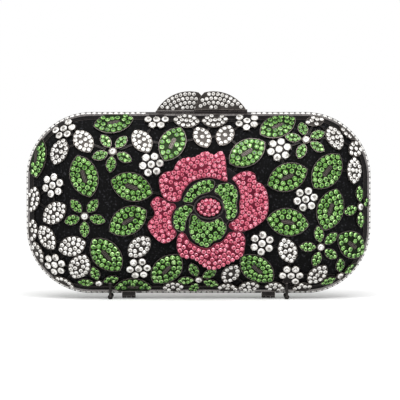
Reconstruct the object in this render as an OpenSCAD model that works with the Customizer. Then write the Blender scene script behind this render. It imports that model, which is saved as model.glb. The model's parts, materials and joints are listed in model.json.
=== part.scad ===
// Evening clutch: a hinged box of two domed halves that meet on a vertical parting plane.
// Each half is a metal frame with a row of stones, an openwork dome of leaves, daisies,
// stars and a rose, all set with stones, a fabric covered board behind it, and a lining.
// Millimetres. X is to the right, Y to the back and Z up. The case stands on four ball feet
// at z = 0 and its parting plane is y = 0.
// Each half is drawn lying down, with its parting plane at height 0 and its dome upwards.

/* [Case] */
// Width of the case
case_w = 190; // [186:1:196]
// Height of the case, without the feet and the clasp
case_h = 100; // [97:1:104]
// Depth of each half, from the parting plane to its flat face
half_d = 21; // [20:0.5:23]
// Radius of the outline's corners
corner_r = 36; // [34:0.5:38]

/* [Frames] */
// Depth of each frame
frame_d = 4.5; // [4.2:0.1:5.5]
// Thickness of a frame's wall
frame_wall = 4; // [3.8:0.1:4.6]
// How far a frame's outer face leans in towards its dome
frame_lean = 1.2; // [0.8:0.1:1.6]
// Depth of the channel that holds a frame's stones
channel_d = 0.5; // [0.3:0.05:0.8]
// Gap between the two closed frames
parting_gap = 0.4; // [0.2:0.05:0.8]

/* [Shells] */
// Thickness of the openwork metal
panel_t = 1.2; // [0.9:0.1:1.6]
// Thickness of the fabric covered board
board_t = 1.3; // [1:0.1:1.8]
// Thickness of the lining
lining_t = 0.8; // [0.5:0.1:1.2]
// Height of the openwork's plain border
border_h = 1.6; // [1.2:0.1:2.4]
// Width of the bars that join the motifs
stem_w = 1; // [0.7:0.1:1.6]

/* [Motifs] */
// Length of a large leaf
leaf_l = 24; // [22:0.5:26]
// Width of a large leaf
leaf_w = 15.6; // [14.5:0.1:17]
// Length of a small leaf
small_leaf_l = 15.6; // [14:0.1:17]
// Width of a small leaf
small_leaf_w = 10.6; // [10:0.1:12]
// Length of a star's leaflet
leaflet_l = 9.2; // [8:0.1:9.6]
// Width of a star's leaflet
leaflet_w = 5.6; // [5.4:0.1:6.4]
// Distance from a star's centre to the middle of its leaflets
leaflet_reach = 7.2; // [6.8:0.1:8]
// Length of a large leaf's open vein
vein_l = 7; // [6:0.5:8]
// Width of a large leaf's open vein
vein_w = 1.4; // [1.2:0.1:1.6]
// Width of the bar along the vein
vein_bar_w = 0.6; // [0.5:0.1:0.8]
// Radius of the rose
rose_r = 33; // [31:0.5:35]
// Thickness of a rose petal
petal_t = 1.2; // [0.8:0.1:1.6]
// Width of the rose's domed centre
bud_w = 13.8; // [12:0.2:15]
// Height of the rose's domed centre, measured upright
bud_h = 10.4; // [9:0.2:12]
// Rise of the rose's domed centre
bud_rise = 3; // [2:0.1:4]

/* [Stones] */
// Diameter of a coloured stone
stone_d = 2.8; // [2.4:0.05:3]
// Diameter of a small white stone
small_stone_d = 2.4; // [2.1:0.05:2.6]
// Diameter of a stone on a star's leaflets
leaflet_stone_d = 2.2; // [2:0.05:2.4]
// Diameter of a daisy's stone
daisy_stone_d = 4.1; // [3.8:0.05:4.3]
// Diameter of the stone at a star's centre
star_stone_d = 3.6; // [3:0.1:4]
// Diameter of a stone on the rose
rose_stone_d = 2.5; // [2.3:0.05:2.8]
// Diameter of the smaller stones that fill the gaps on the rose
filler_stone_d = 1.95; // [1.7:0.05:2.1]
// Diameter of a stone on the clasp
clasp_stone_d = 2.05; // [1.9:0.05:2.3]
// Space between neighbouring stones
stone_gap = 0.08; // [0.05:0.01:0.15]
// Metal left between a stone and the edge of its plate
stone_rim = 0.4; // [0.3:0.05:0.7]
// Metal left between a stone and the edge of a petal
petal_rim = 0.2; // [0.15:0.05:0.5]

/* [Hinges] */
// Distance from the middle of the case to each hinge
hinge_x = 38.5; // [34:0.5:42]
// Length of each hinge along its pin
hinge_w = 7.4; // [6.5:0.1:9]
// Radius of the hinge knuckles
knuckle_r = 1.6; // [1.4:0.05:1.8]
// Radius of the hinge pins
hinge_pin_r = 0.8; // [0.6:0.05:0.9]

/* [Feet] */
// Height of the case above the surface it stands on
foot_h = 2.9; // [2.8:0.1:3.6]
// Distance from the middle of the case to each foot
foot_x = 48.5; // [46:0.5:54]
// Distance from the parting plane to each foot
foot_y = 9; // [8:0.5:11]
// Radius of the ball
foot_r = 1.4; // [1.2:0.05:1.6]

/* [Clasp] */
// Radius of the round edge of each clasp lobe
lobe_r = 21; // [20:0.5:22]
// Height of the clasp lobes above the case
lobe_h = 11.4; // [10.5:0.1:12.5]
// Thickness of each lobe's plate
lobe_t = 1; // [0.8:0.1:1.3]
// Height of the bases that carry the lobes
base_h = 0.6; // [0.5:0.05:0.8]
// Radius of the clasp's pivot pin
clasp_pin_r = 0.5; // [0.4:0.05:0.6]
// Radius of the clasp's knuckle
clasp_knuckle_r = 1.1; // [1:0.05:1.3]
// Width of the hook
hook_w = 4; // [3:0.5:6]
// Thickness of the hook's metal
hook_t = 0.9; // [0.7:0.1:1.1]

/* [Hidden] */
$fn = 96;
stone_fn = 24;

// Clearances
overrun = 1;
skin_gap = 0.1;
glue_gap = 0.12;
run_gap = 0.05;
knuckle_gap = 0.15;
swing_gap = 0.3;
seat_gap = 0.05;
stone_channel_gap = 0.1;

// The dome is a slab with round edges: a ball of dome_r rolled round a flat rectangle
flat_w = case_w - 2 * corner_r;
flat_h = case_h - 2 * corner_r;
panel_r = corner_r - frame_lean;
dome_rise = half_d - frame_d;
dome_r = (panel_r * panel_r + dome_rise * dome_rise) / (2 * dome_rise);
core_u = half_d - dome_r;
half_gap = parting_gap / 2;
lean_angle = atan(frame_lean / (frame_d - half_gap));
inner_r = corner_r - frame_wall;
board_out = -panel_t - skin_gap;
lining_out = board_out - board_t - skin_gap;
middle_z = foot_h + case_h / 2;
top_z = foot_h + case_h;

// Leaves as [across, up, tilt, size]: across and up are shares of half the case, size is a
// share of the full leaf, and tilt is the turn of the long axis from the horizontal
leaf_shares = [
    [-0.943, 0.51, 88, 1], [-0.49, 0.89, 12, 0.95], [-0.658, 0.3, -72, 1],
    [-0.384, 0.184, -18, 1], [-0.15, 0.66, 64, 0.92], [0.279, 0.56, 31, 0.96],
    [0.457, 0.851, 25, 0.95], [0.51, 0.29, 22, 0.98], [0.74, 0.356, 52, 1],
    [0.759, -0.064, 73, 1], [0.512, -0.2, -9, 0.98], [0.889, -0.46, -36, 0.94],
    [0.337, -0.724, -40, 1], [-0.183, -0.73, 47, 0.98], [-0.405, -0.186, 30, 0.98],
    [-0.53, -0.566, -50, 1], [-0.38, -0.93, 0, 0.88]];
small_leaf_shares = [
    [-0.803, 0.57, 70, 1], [-0.663, 0.686, -56, 1], [-0.326, 0.686, -55, 1],
    [-0.957, 0.04, 78, 0.95], [-0.07, 0.905, -5, 0.95], [0.095, 0.91, 5, 0.95],
    [0.021, 0.728, -62, 0.9], [0.153, 0.748, 62, 0.9], [0.672, 0.903, 12, 0.72],
    [0.787, 0.72, -68, 0.98], [0.91, 0.597, 40, 0.8], [0.865, 0.785, -45, 0.77],
    [0.9, 0.36, 88, 0.97], [0.512, -0.514, -70, 0.98], [0.686, -0.786, 47, 0.94],
    [0.185, -0.775, 54, 0.9], [-0.34, -0.474, 42, 1], [-0.832, -0.105, 36, 1.08],
    [-0.876, -0.376, -58, 1], [-0.728, -0.468, 18, 1.06], [-0.687, -0.698, 62, 1.1],
    [-0.147, -0.926, 4, 0.77], [0.168, -0.94, -6, 0.74], [0.292, -0.922, 8, 0.78],
    [0.442, -0.927, -6, 0.73], [0.6, -0.931, 8, 0.72], [-0.935, -0.56, -75, 0.9],
    [-0.786, -0.885, -22, 0.85], [-0.962, -0.3, 86, 0.8]];
// Daisies as [across, up, turn], in the same shares
daisy_shares = [
    [-0.778, 0.816, 10], [-0.839, 0.198, 20], [-0.271, 0.428, 8], [-0.242, 0.915, 0],
    [0.279, 0.9, 20], [0.463, 0.591, 15], [0.614, 0.05, 12], [0.364, -0.432, 25],
    [0.534, -0.789, 0], [-0.83, -0.674, 10], [-0.345, -0.712, 5]];
// Stars as [across, up, directions of the leaflets], in the same shares
star_shares = [
    [-0.493, 0.57, [122, 50, -28, -97, 198]], [0.619, 0.698, [103, 28, -33, -112, 170]],
    [0.935, -0.04, [95, 195, -88, 20]], [0.703, -0.474, [100, 40, -35, -105, 180]],
    [0.82, -0.8, [108, 36, 215, -35]], [0.001, -0.84, [112, 35, 185, -112, -22]],
    [-0.654, -0.136, [130, 52, -14, -90, 197]], [-0.577, -0.88, [105, 178, 20]]];
// Middle of the rose, in the same shares
rose_share = [0.059, -0.038];
// Outlines of the petals about the middle of the rose, as shares of its radius
petal_shares = [
    [[0.3, 0.43], [0.29, 0.6], [0.27, 0.82], [0.21, 0.92], [0.15, 0.91], [0.09, 0.86],
        [0.02, 0.89], [-0.06, 0.92], [-0.14, 0.88], [-0.25, 0.82], [-0.35, 0.82],
        [-0.48, 0.78], [-0.55, 0.7], [-0.59, 0.61], [-0.72, 0.58], [-0.81, 0.5],
        [-0.82, 0.39], [-0.78, 0.22], [-0.7, 0.12], [-0.58, 0.09], [-0.47, 0.12],
        [-0.44, 0.22], [-0.36, 0.35], [-0.25, 0.44], [-0.03, 0.49], [0.13, 0.47]],
    [[-0.85, 0.18], [-0.93, 0.12], [-0.96, 0.04], [-0.9, -0.06], [-0.91, -0.15],
        [-0.98, -0.22], [-1.01, -0.31], [-0.96, -0.42], [-0.85, -0.54], [-0.75, -0.59],
        [-0.65, -0.57], [-0.55, -0.48], [-0.54, -0.4], [-0.6, -0.31], [-0.62, -0.19],
        [-0.59, -0.07], [-0.54, 0], [-0.57, 0.06], [-0.67, 0.08], [-0.75, 0.14]],
    [[-0.45, -0.41], [-0.51, -0.47], [-0.53, -0.58], [-0.52, -0.71], [-0.45, -0.82],
        [-0.35, -0.84], [-0.24, -0.85], [-0.13, -0.94], [-0.01, -1.01], [0.1, -1.02],
        [0.26, -0.96], [0.42, -0.88], [0.56, -0.79], [0.59, -0.67], [0.6, -0.52],
        [0.55, -0.42], [0.44, -0.4], [0.33, -0.42], [0.27, -0.5], [0.2, -0.57], [0.09, -0.6],
        [0.03, -0.66], [-0.09, -0.67], [-0.22, -0.62], [-0.32, -0.55], [-0.38, -0.45]],
    [[0.38, 0.48], [0.43, 0.42], [0.49, 0.31], [0.52, 0.18], [0.5, 0.06], [0.51, -0.07],
        [0.47, -0.17], [0.36, -0.25], [0.33, -0.31], [0.39, -0.37], [0.53, -0.4],
        [0.69, -0.36], [0.81, -0.29], [0.92, -0.2], [0.98, -0.05], [0.98, 0.13], [0.95, 0.28],
        [0.87, 0.39], [0.79, 0.43], [0.76, 0.55], [0.65, 0.6], [0.51, 0.57]]];
inner_petal_shares = [
    [[-0.43, 0.12], [-0.36, 0.08], [-0.28, 0.08], [-0.23, 0.14], [-0.15, 0.2], [-0.05, 0.23],
        [0.05, 0.28], [0.1, 0.38], [0.08, 0.45], [-0.03, 0.46], [-0.16, 0.43], [-0.26, 0.37],
        [-0.35, 0.27]],
    [[0.17, 0.38], [0.1, 0.31], [0.1, 0.24], [0.18, 0.19], [0.22, 0.11], [0.24, 0.01],
        [0.28, -0.08], [0.28, -0.17], [0.35, -0.22], [0.42, -0.18], [0.47, -0.08],
        [0.46, 0.06], [0.48, 0.2], [0.45, 0.32], [0.36, 0.4], [0.25, 0.4]],
    [[-0.33, -0.32], [-0.3, -0.48], [-0.2, -0.58], [-0.08, -0.64], [0.01, -0.63],
        [0.07, -0.56], [0.2, -0.51], [0.28, -0.4], [0.29, -0.3], [0.24, -0.23], [0.19, -0.16],
        [0.11, -0.2], [0.01, -0.24], [-0.11, -0.22], [-0.19, -0.15], [-0.24, -0.11],
        [-0.3, -0.13]],
    [[-0.4, -0.38], [-0.38, -0.25], [-0.34, -0.15], [-0.27, -0.06], [-0.24, 0.01],
        [-0.33, 0.05], [-0.45, 0.02], [-0.55, -0.05], [-0.59, -0.17], [-0.58, -0.31],
        [-0.5, -0.39]]];
leaf_sides = 48;
// Spots tried along the outline for each stone, and how far a stone may miss its place
tries_per_stone = 8;
packing_slack = 0.02;
rose_seat_share = 0.72;
rose_boss_share = 0.4;
curve_steps = 3;
// Outline of the collar round the rose's centre, past the centre's own
collar_gap = 0.6;
collar_t = 0.6;
collar_h = 1.2;
// A motif's prism reaches this far into and out of the dome
prism_in = 5;
prism_out = 2;
// Bars join motifs whose centres are nearer than this
stem_reach = 17.5;
table_share = 0.57;
stone_h_share = 0.32;
// The plates fill this share of the openwork's thickness, and the lattice the rest
plate_t_share = 0.5;
// A bar's length, as a share of the distance between the motifs that it joins
stem_share = 0.5;
// Bars from a star's centre to its leaflets, and how far from the centre their middles lie
star_bar_l = 3.4;
star_bar_reach = 3.2;
daisy_overlap = 0.2;
notch_share = 0.8;
foot_pad_d = 4.4;
// Directions of the bars that carry the rose's seat, and where they start and end
rose_bar_turns = [165, 120, 55, 21, -11, -53, -124, 190];
rose_bar_shares = [0.6, 1.04];
bud_stone_d = 2.1;
bud_sides = 48;
frame_stone_gap = 0.1;

// Feet and hinges
ground_gap = 0.3;
foot_flat = 0.2;
foot_neck_r = 0.8;
foot_neck_reach = 6;
hinge_leaf_d = 4.2;
hinge_plate_share = 0.3;

// Clasp. The lobes' outlines lie in the front view, measured from the middle of the case
rear_lobe_x = -5;
front_lobe_x = 8.2;
lobe_inner_reach = 10.7;
seam_r = 20;
seam_drop = 3.5;
lobe_rim = 0.45;
lobe_foot_rim = 0.1;
lobe_row_gap = 0.35;
lobe_stone_gap = 0.42;
lobe_turn = 70;
base_d = frame_d - skin_gap;
pivot_u = base_d / 2;
pivot_z = top_z + base_h + knuckle_gap + clasp_knuckle_r;
lobe_outer_reach = sqrt(lobe_r * lobe_r - pow(lobe_r - lobe_h, 2));
lobe_reach = front_lobe_x + lobe_outer_reach;
knuckle_sink = 0.15;
lobe_low = 0.55;
ear_t = 1.4;
ear_share = 0.78;
ear_r = clasp_knuckle_r * ear_share;
ear_web = 1.2;
rib_t = 0.6;
pivot_l = 20;
hook_x = front_lobe_x + 3;
hook_gap = 0.25;
strike_w = hook_w + 3;
strike_u = 0.7;
strike_t = 0.8;
spring_l = 2.6;
spring_wire = 0.3;
spring_turns = 2.25;
spring_pin_gap = 0.08;
spring_leg = 1.1;
spring_rings = 8;
spring_sides = 6;

function clamped(t, limit) = max(-limit, min(limit, t));
function unit(v) = v / norm(v);

// The nearest point of the flat rectangle that the dome is rolled round
function core(p) = [clamped(p.x, flat_w / 2), clamped(p.y, flat_h / 2), core_u];
function outwards(p) = unit(p - core(p));
function on_dome(p, rise = 0) = core(p) + (dome_r + rise) * outwards(p);

// A point of the dome, from its place in the front view
function lifted(x, y) =
    let (dx = x - clamped(x, flat_w / 2), dy = y - clamped(y, flat_h / 2))
    [x, y, core_u + sqrt(dome_r * dome_r - dx * dx - dy * dy)];

// The direction along the dome at p that the front view shows at an angle
function along(p, angle) =
    let (n = outwards(p))
    unit([cos(angle), sin(angle), -(n.x * cos(angle) + n.y * sin(angle)) / n.z]);

// A walk over the dome from p in the direction t, in steps
function walked(p, t, step, count) =
    count == 0 ? p :
    let (q = on_dome(p + step * t), n = outwards(q))
    walked(q, unit(t - (t * n) * n), step, count - 1);
walk_step = 3;

// The point a along and b across a motif that lies at p with its long axis along t
function across_dome(p, t, a, b) =
    let (s = cross(outwards(p), t), far = norm([a, b]))
    far == 0 ? p :
    let (count = ceil(far / walk_step))
    walked(p, (a * t + b * s) / far, far / count, count);

function placed(share) = lifted(share.x * case_w / 2, share.y * case_h / 2);

// A leaf's outline, which is two arcs
function arc_r(l, w) = (l * l + w * w) / (4 * w);
function leaf_outline(l, w) =
    let (r = arc_r(l, w), c = r - w / 2, reach = acos(c / r))
    [for (i = [0 : leaf_sides - 1])
        let (f = 2 * i / leaf_sides, turn = reach * (f < 1 ? 2 * f - 1 : 3 - 2 * f))
        [r * sin(turn), (f < 1 ? -1 : 1) * (r * cos(turn) - c)]];

// A closed smooth curve through points
function curve(points) =
    let (n = len(points))
    [for (i = [0 : n - 1], k = [0 : curve_steps - 1])
        let (
            t = k / curve_steps,
            a = points[(i + n - 1) % n], b = points[i],
            c = points[(i + 1) % n], d = points[(i + 2) % n]
        )
        (2 * b + (c - a) * t + (2 * a - 5 * b + 4 * c - d) * t * t
            + (3 * b - a - 3 * c + d) * t * t * t) / 2];
function within(outline, p) =
    len([for (i = [0 : len(outline) - 1])
        let (a = outline[i], b = outline[(i + 1) % len(outline)])
        if ((a.y > p.y) != (b.y > p.y)
            && p.x < a.x + (b.x - a.x) * (p.y - a.y) / (b.y - a.y)) i]) % 2 == 1;
function edge_distance(outline, p) =
    min([for (i = [0 : len(outline) - 1])
        let (
            a = outline[i], e = outline[(i + 1) % len(outline)] - a,
            f = max(0, min(1, (p - a) * e / (e * e)))
        )
        norm(p - a - f * e)]);

// Stones inside an outline: a row that follows it, and then every place that touches two
// stones already there and clears the others, from the outline inwards. They keep off a
// slot in its middle, given as half the length of its axis and a distance from that
no_slot = [0, 0];
function clears(outline, p, inset, slot) =
    within(outline, p) && edge_distance(outline, p) >= inset
        && norm([max(0, abs(p.x) - slot.x), p.y]) >= slot.y;
function kept(points, pitch, found, i = 0) =
    i == len(points) ? found :
    kept(points, pitch,
        min([for (q = found) norm(points[i] - q), 2 * pitch]) < pitch ? found
            : concat(found, [points[i]]), i + 1);
function edge_row(outline, pitch, inset, slot) =
    kept([for (i = [0 : len(outline) - 1])
        let (
            a = outline[i], e = outline[(i + 1) % len(outline)] - a,
            count = ceil(norm(e) / pitch * tries_per_stone)
        )
        for (k = [0 : count - 1])
            let (p = a + e * k / count + inset * [-e.y, e.x] / norm(e))
            if (clears(outline, p, inset - packing_slack, slot)) p], pitch, []);
function filled(outline, pitch, inset, slot, found, i = 0) =
    i == len(found) ? found :
    let (spots = [for (q = found, side = [-1, 1])
        let (half = (q - found[i]) / 2, reach = norm(half))
        if (reach > 0 && reach < pitch)
            let (p = found[i] + half
                + side * sqrt(pitch * pitch - reach * reach) / reach * [-half.y, half.x])
            if (clears(outline, p, inset - packing_slack, slot)) p])
    filled(outline, pitch, inset, slot, kept(spots, pitch - packing_slack, found), i + 1);
function packed(outline, pitch, inset) =
    filled(outline, pitch, inset, no_slot, edge_row(outline, pitch, inset, no_slot));

// Stones of a leaf: two even rows that follow its outline, and then the places between
function leaf_row(l, w, inset, pitch) =
    let (r = arc_r(l, w) - inset, c = arc_r(l, w) - w / 2)
    r - c < pitch / 2 ? middle_row(sqrt(max(0, r * r - c * c)), pitch) :
    let (reach = acos(c / r), count = 2 * floor(2 * reach * PI / 180 * r / pitch))
    [for (i = [0 : count - 1])
        let (f = 2 * i / count, turn = reach * (f < 1 ? 2 * f - 1 : 3 - 2 * f))
        [r * sin(turn), (f < 1 ? 1 : -1) * (r * cos(turn) - c)]];
function middle_row(reach, pitch) =
    let (count = 2 * floor(reach / pitch))
    [for (i = [0 : count]) [(i - count / 2) * pitch, 0]];
function leaf_spots(l, w, pitch, inset, slot = no_slot) =
    let (outline = leaf_outline(l, w))
    filled(outline, pitch, inset, slot,
        kept([for (row = [0, 1], p = leaf_row(l, w, inset + row * pitch, pitch))
            if (clears(outline, p, inset - packing_slack, slot)) p], pitch - packing_slack, []));

// A place on the dome, with z outwards and x along t
module at(p, t, rise = 0) {
    n = outwards(p);
    s = cross(n, t);
    o = p + rise * n;
    multmatrix([[t.x, s.x, n.x, o.x], [t.y, s.y, n.y, o.y], [t.z, s.z, n.z, o.z]])
        children();
}

module stone(d) {
    cylinder(d1 = d, d2 = d * table_share, h = d * stone_h_share, $fn = stone_fn);
}

// A stone on the dome, unless its lower edge would reach past the dome's foot or it would
// meet the neck of a foot under the case
module set_stone(p, d, rise = 0) {
    n = outwards(p);
    q = p + (glue_gap + d * stone_h_share / 2) * n;
    from_neck = norm([abs(q.x) - foot_x, q.z - foot_y]);
    above_foot = p.z > frame_d + skin_gap + d / 2 * norm([n.x, n.y]);
    if (above_foot && (p.y > 0 || from_neck > foot_neck_r + d / 2 + skin_gap))
        at(p, along(p, 0), rise + glue_gap) stone(d);
}

// The front half's drawing stood up, and the rear half as the same turned round
module front_stand() {
    translate([0, 0, middle_z]) rotate([90, 0, 0]) children();
}

module rear_stand() {
    rotate(180) front_stand() children();
}

// A section carried round the outline: its x is measured outwards from the corners' axes
module round_sweep() {
    for (i = [0 : 3]) {
        sx = i == 0 || i == 3 ? 1 : -1;
        sy = i < 2 ? 1 : -1;
        translate([sx * flat_w / 2, sy * flat_h / 2, 0])
            rotate(90 * i) rotate_extrude(angle = 90) children();
        across = i % 2 == 0;
        rotate(90 * i) translate([(across ? flat_w : flat_h) / 2, 0, 0])
            rotate([90, 0, 0])
            linear_extrude(across ? flat_h : flat_w, center = true) children();
    }
}

// A shell between two heights over the dome, from a height above the parting plane
module shell_section(out, in, low) {
    intersection() {
        translate([0, core_u]) difference() {
            circle(dome_r + out);
            circle(dome_r + in);
        }
        translate([0, low]) square([corner_r + overrun, half_d + out + overrun]);
    }
}

module shell(out, in, low) {
    round_sweep() shell_section(out, in, low);
    translate([-flat_w / 2, -flat_h / 2, half_d + in]) cube([flat_w, flat_h, out - in]);
}

// The solid under the dome, grown by a gap
module under_dome(grow) {
    round_sweep() intersection() {
        translate([0, core_u]) circle(dome_r + grow);
        square([corner_r + overrun, half_d + grow + overrun]);
    }
    translate([-flat_w / 2, -flat_h / 2, 0]) cube([flat_w, flat_h, half_d + grow]);
}

module leaf_prism(l, w) {
    r = arc_r(l, w);
    intersection_for (side = [-1, 1])
        translate([0, side * (r - w / 2), -prism_in]) cylinder(r = r, h = prism_in + prism_out);
}

module slot_prism(l, w) {
    translate([-(l - w) / 2, -w / 2, -prism_in]) cube([l - w, w, prism_in + prism_out]);
    for (side = [-1, 1])
        translate([side * (l - w) / 2, 0, -prism_in]) cylinder(d = w, h = prism_in + prism_out);
}

module disc_prism(d, extra = 0) {
    translate([0, 0, -prism_in]) cylinder(d = d, h = prism_in + prism_out + extra);
}

// Motifs of the openwork. Their plates fill the outer part of its thickness
plate_t = panel_t * plate_t_share;
module plates() {
    intersection() {
        shell(0, -plate_t, frame_d);
        union() children();
    }
}

module leaf_plates() {
    color("dimgray") plates()
        for (s = leaf_shares) {
            p = placed(s);
            at(p, along(p, s[2])) difference() {
                leaf_prism(leaf_l * s[3], leaf_w * s[3]);
                difference() {
                    slot_prism(vein_l * s[3], vein_w);
                    translate([-vein_l, -vein_bar_w / 2, -prism_in - overrun])
                        cube([2 * vein_l, vein_bar_w, prism_in + prism_out + 2 * overrun]);
                }
            }
        }
}

module small_leaf_plates() {
    color("dimgray") plates()
        for (s = small_leaf_shares) {
            p = placed(s);
            at(p, along(p, s[2])) leaf_prism(small_leaf_l * s[3], small_leaf_w * s[3]);
        }
}

daisy_pitch = daisy_stone_d + 2 * stone_rim - daisy_overlap;
module daisy_plates() {
    outer_r = daisy_pitch + daisy_stone_d / 2;
    color("dimgray") plates()
        for (s = daisy_shares) {
            p = placed(s);
            at(p, along(p, s[2])) difference() {
                disc_prism(2 * outer_r);
                for (i = [0 : 5])
                    rotate(60 * i + 30) translate([outer_r, 0, -overrun])
                        disc_prism(daisy_stone_d * notch_share, 2 * overrun);
            }
        }
}

module star_plates() {
    color("dimgray") plates()
        for (s = star_shares) {
            p = placed(s);
            at(p, along(p, 0)) {
                disc_prism(star_stone_d + 2 * stone_rim);
                for (a = s[2])
                    rotate(a) translate([leaflet_reach, 0, 0]) leaf_prism(leaflet_l, leaflet_w);
            }
        }
}

// The lattice behind the plates: a plain border, bars between neighbouring motifs, and
// bars from each star's centre to its leaflets
foot_spots = [for (side = [-1, 1])
    [side * foot_x, -flat_h / 2 - sqrt(dome_r * dome_r - (foot_y - core_u) * (foot_y - core_u)),
        foot_y]];
motif_spots = concat([for (s = concat(leaf_shares, small_leaf_shares, daisy_shares, star_shares))
    placed(s)], foot_spots);

module bar_prism(l) {
    translate([-l / 2, -stem_w / 2, -prism_in]) cube([l, stem_w, prism_in + prism_out]);
}

module lattice() {
    low = -plate_t - seat_gap;
    color("dimgray") {
        round_sweep() intersection() {
            shell_section(low, -panel_t, frame_d);
            square([corner_r, frame_d + border_h]);
        }
        intersection() {
            shell(low, -panel_t, frame_d + border_h + seat_gap);
            union() {
                for (i = [0 : len(motif_spots) - 2], j = [i + 1 : len(motif_spots) - 1]) {
                    span = motif_spots[j] - motif_spots[i];
                    if (norm(span) < stem_reach) {
                        p = on_dome((motif_spots[i] + motif_spots[j]) / 2);
                        n = outwards(p);
                        at(p, unit(span - (span * n) * n)) bar_prism(norm(span) * stem_share);
                    }
                }
                for (s = star_shares) {
                    p = placed(s);
                    at(p, along(p, 0))
                        for (a = s[2])
                            rotate(a) translate([star_bar_reach, 0, 0]) bar_prism(star_bar_l);
                }
                for (p = foot_spots) at(p, along(p, 0)) disc_prism(foot_pad_d);
                for (a = rose_bar_turns)
                    translate([rose.x, rose.y, half_d]) rotate(a)
                        translate([rose_r * (rose_bar_shares[0] + rose_bar_shares[1]) / 2, 0, 0])
                        bar_prism(rose_r * (rose_bar_shares[1] - rose_bar_shares[0]));
            }
        }
    }
}

// The rose: a seat on the lattice, a ring of outer petals, a raised ring of leaves and a
// domed centre in a collar
rose = placed(rose_share);
petal_low = glue_gap + stone_d * stone_h_share + skin_gap;
petal_high = petal_low + petal_t;
leaf_low = petal_high + seat_gap;
leaf_high = leaf_low + petal_t;

module rose_prism() {
    translate([rose.x, rose.y, half_d - prism_in])
        linear_extrude(prism_in + leaf_high + prism_out) children();
}

module petals(shares, low, high) {
    intersection() {
        shell(high, low, frame_d);
        rose_prism()
            for (outline = shares) polygon(curve(rose_r * outline));
    }
}

module rose_seat() {
    color("dimgray") {
        intersection() {
            shell(petal_low - seat_gap, -plate_t, frame_d);
            rose_prism() circle(rose_r * rose_seat_share);
        }
        translate([rose.x, rose.y, half_d - plate_t / 2])
            cylinder(r = rose_r * rose_boss_share, h = petal_high + plate_t / 2);
    }
}

module rose_petals() {
    color("dimgray") petals(petal_shares, petal_low, petal_high);
}

module rose_leaves() {
    clear = 2 * (collar_gap + collar_t + skin_gap);
    color("dimgray") difference() {
        petals(inner_petal_shares, leaf_low, leaf_high);
        rose_prism() ellipse(bud_w + clear, bud_h + clear);
    }
}

module ellipse(w, h) {
    scale([w / h, 1]) circle(d = h);
}

module rose_centre() {
    color("dimgray") translate([rose.x, rose.y, half_d + petal_high + seat_gap]) {
        intersection() {
            scale([bud_w / 2, bud_h / 2, bud_rise]) sphere(1);
            translate([-bud_w, -bud_h, 0]) cube([2 * bud_w, 2 * bud_h, bud_rise + overrun]);
        }
        linear_extrude(collar_h) difference() {
            ellipse(bud_w + 2 * (collar_gap + collar_t), bud_h + 2 * (collar_gap + collar_t));
            ellipse(bud_w + 2 * collar_gap, bud_h + 2 * collar_gap);
        }
    }
}

// Stones
module leaf_stones() {
    color("limegreen") {
        for (s = leaf_shares) {
            p = placed(s);
            t = along(p, s[2]);
            slot = [(vein_l * s[3] - vein_w) / 2, vein_w / 2 + petal_rim + stone_d / 2];
            for (q = leaf_spots(leaf_l * s[3], leaf_w * s[3], stone_d + stone_gap,
                    stone_rim + stone_d / 2, slot))
                set_stone(across_dome(p, t, q.x, q.y), stone_d);
        }
        for (s = star_shares, a = s[2]) {
            p = placed(s);
            t = along(p, 0);
            for (q = leaf_spots(leaflet_l, leaflet_w, leaflet_stone_d + stone_gap,
                    petal_rim + leaflet_stone_d / 2)) {
                x = leaflet_reach + q.x;
                set_stone(across_dome(p, t, x * cos(a) - q.y * sin(a),
                    x * sin(a) + q.y * cos(a)), leaflet_stone_d);
            }
        }
    }
}

module small_leaf_stones() {
    color("white")
        for (s = small_leaf_shares) {
            p = placed(s);
            t = along(p, s[2]);
            for (q = leaf_spots(small_leaf_l * s[3], small_leaf_w * s[3],
                    small_stone_d + stone_gap, petal_rim + small_stone_d / 2))
                set_stone(across_dome(p, t, q.x, q.y), small_stone_d);
        }
}

module daisy_stones() {
    color("white") {
        for (s = daisy_shares) {
            p = placed(s);
            t = along(p, s[2]);
            set_stone(p, daisy_stone_d);
            for (i = [0 : 5])
                set_stone(across_dome(p, t, daisy_pitch * cos(60 * i), daisy_pitch * sin(60 * i)),
                    daisy_stone_d);
        }
        for (s = star_shares) set_stone(placed(s), star_stone_d);
    }
}

module packed_stones(shares, rise) {
    for (share = shares) {
        outline = curve(rose_r * share);
        inset = petal_rim + rose_stone_d / 2;
        large = packed(outline, rose_stone_d + stone_gap, inset);
        spots = filled(outline, (rose_stone_d + filler_stone_d) / 2 + stone_gap, inset,
            no_slot, large);
        for (i = [0 : len(spots) - 1])
            set_stone(lifted(rose.x + spots[i].x, rose.y + spots[i].y),
                i < len(large) ? rose_stone_d : filler_stone_d, rise);
    }
}

module petal_stones() {
    color("palevioletred") {
        packed_stones(petal_shares, petal_high);
        bud_z = half_d + petal_high + seat_gap;
        bud_half = [bud_w / 2, bud_h / 2, bud_rise];
        bud_outline = [for (i = [0 : bud_sides - 1])
            [bud_half.x * cos(360 * i / bud_sides), bud_half.y * sin(360 * i / bud_sides)]];
        translate([rose.x, rose.y, bud_z])
            for (q = packed(bud_outline, bud_stone_d + stone_gap, petal_rim + bud_stone_d / 2)) {
                fall = pow(q.x / bud_half.x, 2) + pow(q.y / bud_half.y, 2);
                o = [q.x, q.y, bud_half.z * sqrt(1 - fall)];
                n = unit([for (i = [0 : 2]) o[i] / (bud_half[i] * bud_half[i])]);
                t = unit([n.z, 0, -n.x]);
                s = cross(n, t);
                foot = o + glue_gap * n;
                multmatrix([[t.x, s.x, n.x, foot.x], [t.y, s.y, n.y, foot.y],
                    [t.z, s.z, n.z, foot.z]]) stone(bud_stone_d);
            }
    }
}

module rose_leaf_stones() {
    color("limegreen") packed_stones(inner_petal_shares, leaf_high);
}

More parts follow.
